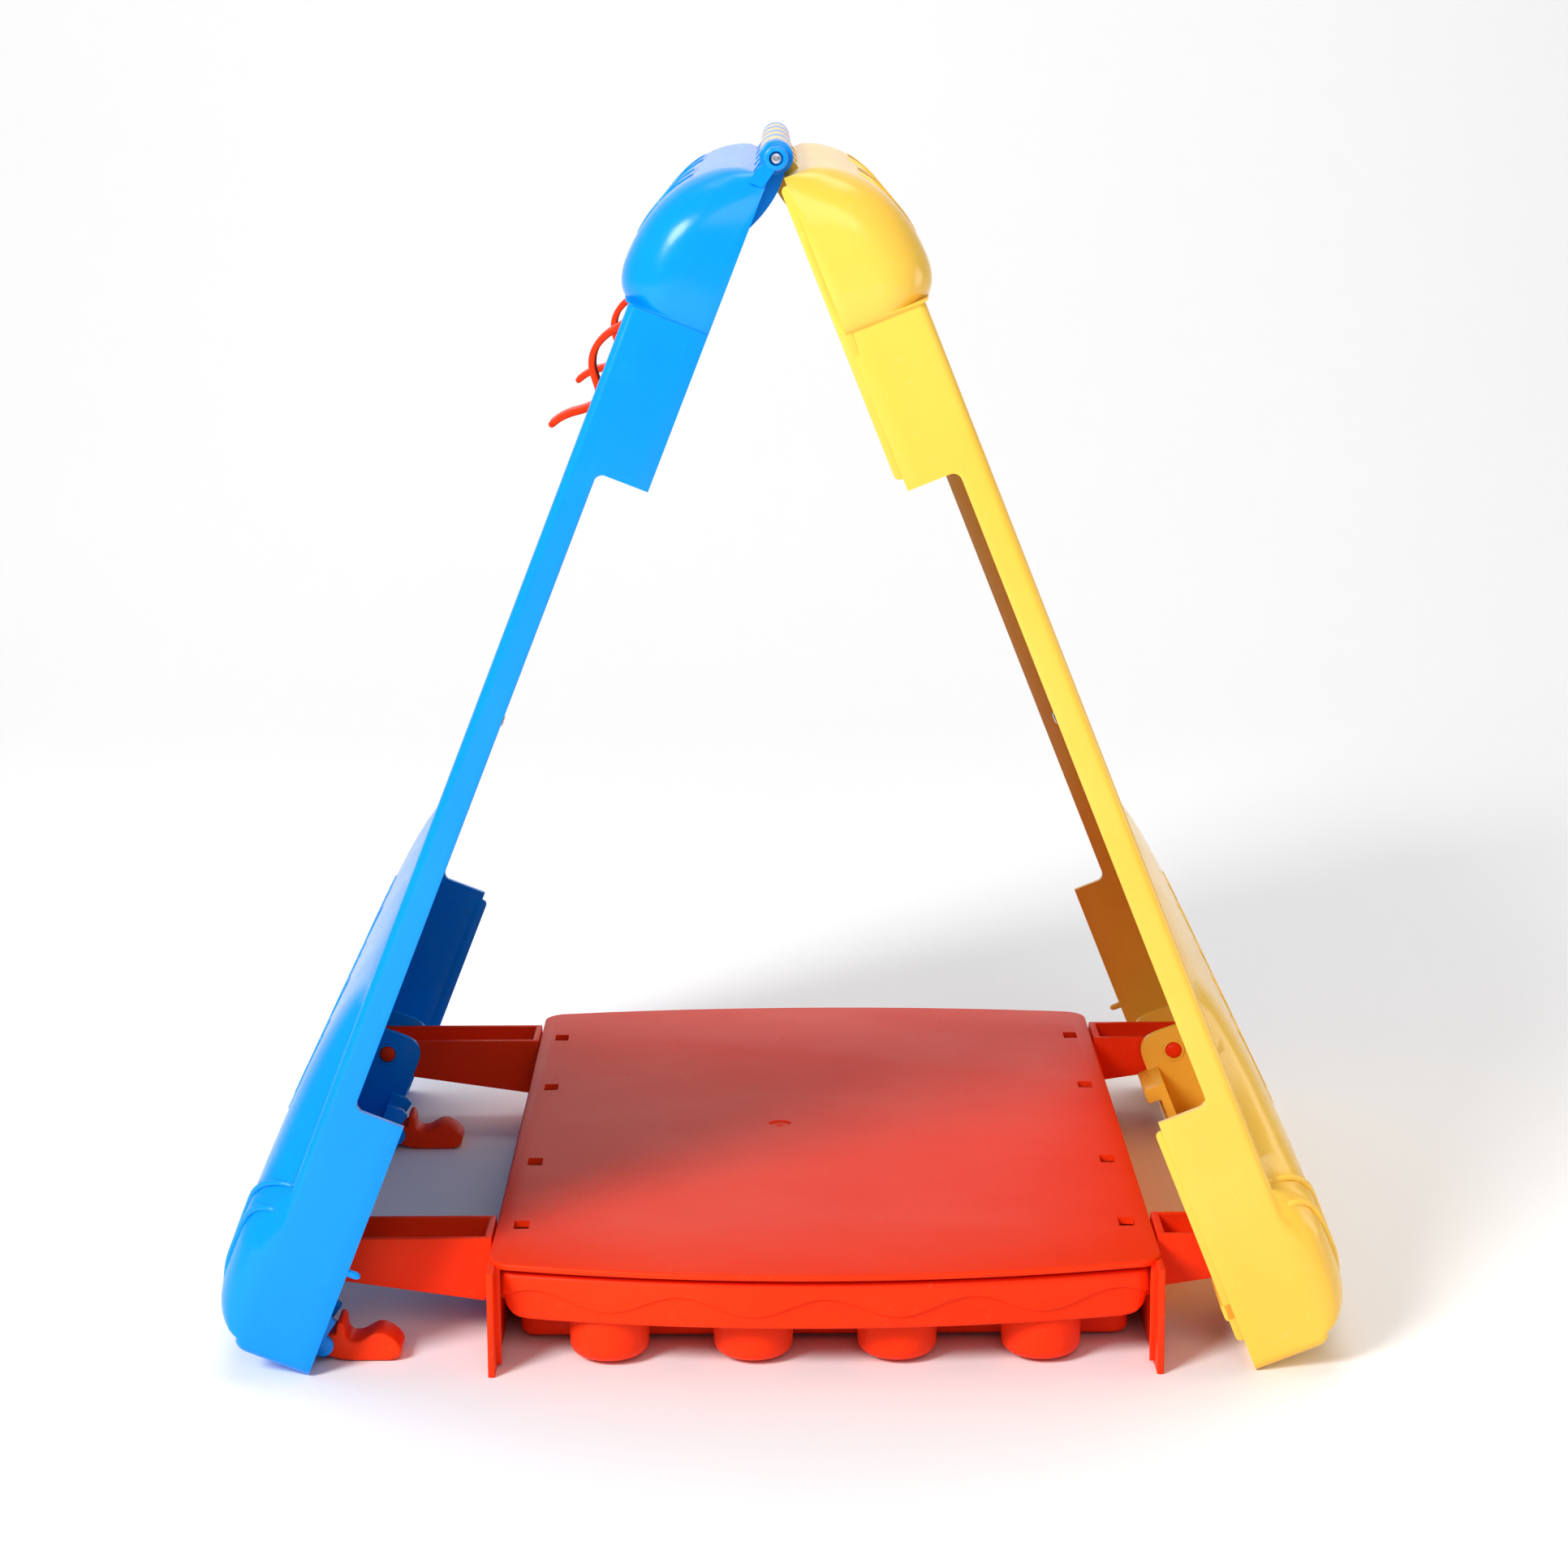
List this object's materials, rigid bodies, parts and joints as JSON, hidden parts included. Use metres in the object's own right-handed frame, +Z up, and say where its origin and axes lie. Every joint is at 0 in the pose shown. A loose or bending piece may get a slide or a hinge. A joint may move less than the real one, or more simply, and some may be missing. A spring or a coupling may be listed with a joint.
{
  "type": "tabletop easel",
  "caption": "Child's double-sided tabletop easel: two hinged plastic case shells with drawing boards, on spreader arms around a low table with a paint cup drawer.",
  "frame": {"origin": "middle of the overall box on the floor, under the hinge line", "axes": "+X from the blue shell to the yellow shell, +Y along the hinge away from the drawer's front, +Z up"},
  "size_m": [0.3766, 0.3515, 0.4052],
  "materials": {
    "blue_plastic": "injection moulded, satin gloss",
    "yellow_plastic": "injection moulded, satin gloss",
    "red_plastic": "injection moulded, satin gloss",
    "steel": "bright drawn",
    "chalk_surface": "hardboard with matt blackboard paint",
    "white_surface": "hardboard with glossy white coating"
  },
  "bodies": {
    "blue_case": {"blue_shell": "blue_plastic", "hinge_rod": "steel", "chalkboard": "chalk_surface", "chalkboard_washers": "red_plastic", "chalkboard_screws": "steel", "blue_arm_pins": "red_plastic", "latch_pins": "steel", "clip_pins": "steel"},
    "yellow_case": {"yellow_shell": "yellow_plastic", "whiteboard": "white_surface", "whiteboard_washers": "red_plastic", "whiteboard_screws": "steel", "yellow_arm_pins": "red_plastic"},
    "blue_near_arm": {"blue_arm_near": "red_plastic"},
    "blue_far_arm": {"blue_arm_far": "red_plastic"},
    "yellow_near_arm": {"yellow_arm_near": "red_plastic"},
    "yellow_far_arm": {"yellow_arm_far": "red_plastic"},
    "table": {"table_top": "red_plastic"},
    "drawer": {"cup_drawer": "red_plastic"},
    "near_latch": {"latch_near": "red_plastic"},
    "far_latch": {"latch_far": "red_plastic"},
    "near_clip": {"clip_near": "red_plastic"},
    "far_clip": {"clip_far": "red_plastic"}
  },
  "joints": [
    {"name": "case_hinge", "type": "hinge", "parent": "blue_case", "child": "yellow_case", "pos_m": [0, 0, 0.3998], "axis": [0, -1, 0], "range_deg": [0, 136]},
    {"name": "blue_near_arm_fold", "type": "hinge", "parent": "blue_case", "child": "blue_near_arm", "pos_m": [-0.16027, -0.1255, 0.03305], "axis": [0, -1, 0], "range_deg": [0, 70]},
    {"name": "blue_far_arm_fold", "type": "hinge", "parent": "blue_case", "child": "blue_far_arm", "pos_m": [-0.16027, 0.1255, 0.03305], "axis": [0, -1, 0], "range_deg": [0, 70]},
    {"name": "yellow_near_arm_fold", "type": "hinge", "parent": "yellow_case", "child": "yellow_near_arm", "pos_m": [0.16027, -0.1255, 0.03305], "axis": [0, 1, 0], "range_deg": [0, 70]},
    {"name": "yellow_far_arm_fold", "type": "hinge", "parent": "yellow_case", "child": "yellow_far_arm", "pos_m": [0.16027, 0.1255, 0.03305], "axis": [0, 1, 0], "range_deg": [0, 70]},
    {"name": "table_lift", "type": "slide", "parent": "blue_case", "child": "table", "axis": [0, 0, 1], "range_m": [0, 0.03]},
    {"name": "drawer_slide", "type": "slide", "parent": "table", "child": "drawer", "axis": [0, -1, 0], "range_m": [0, 0.09]},
    {"name": "near_latch_swing", "type": "hinge", "parent": "blue_case", "child": "near_latch", "pos_m": [-0.15451, -0.149, 0.00657], "axis": [0, -1, 0], "range_deg": [0, 60]},
    {"name": "far_latch_swing", "type": "hinge", "parent": "blue_case", "child": "far_latch", "pos_m": [-0.15451, 0.092, 0.00657], "axis": [0, -1, 0], "range_deg": [0, 60]},
    {"name": "near_clip_flex", "type": "hinge", "parent": "blue_case", "child": "near_clip", "pos_m": [-0.04902, -0.085, 0.34608], "axis": [0, 1, 0], "range_deg": [0, 12], "stiffness_Nm_per_rad": 0.5},
    {"name": "far_clip_flex", "type": "hinge", "parent": "blue_case", "child": "far_clip", "pos_m": [-0.04902, 0.085, 0.34608], "axis": [0, 1, 0], "range_deg": [0, 12], "stiffness_Nm_per_rad": 0.5}
  ]
}
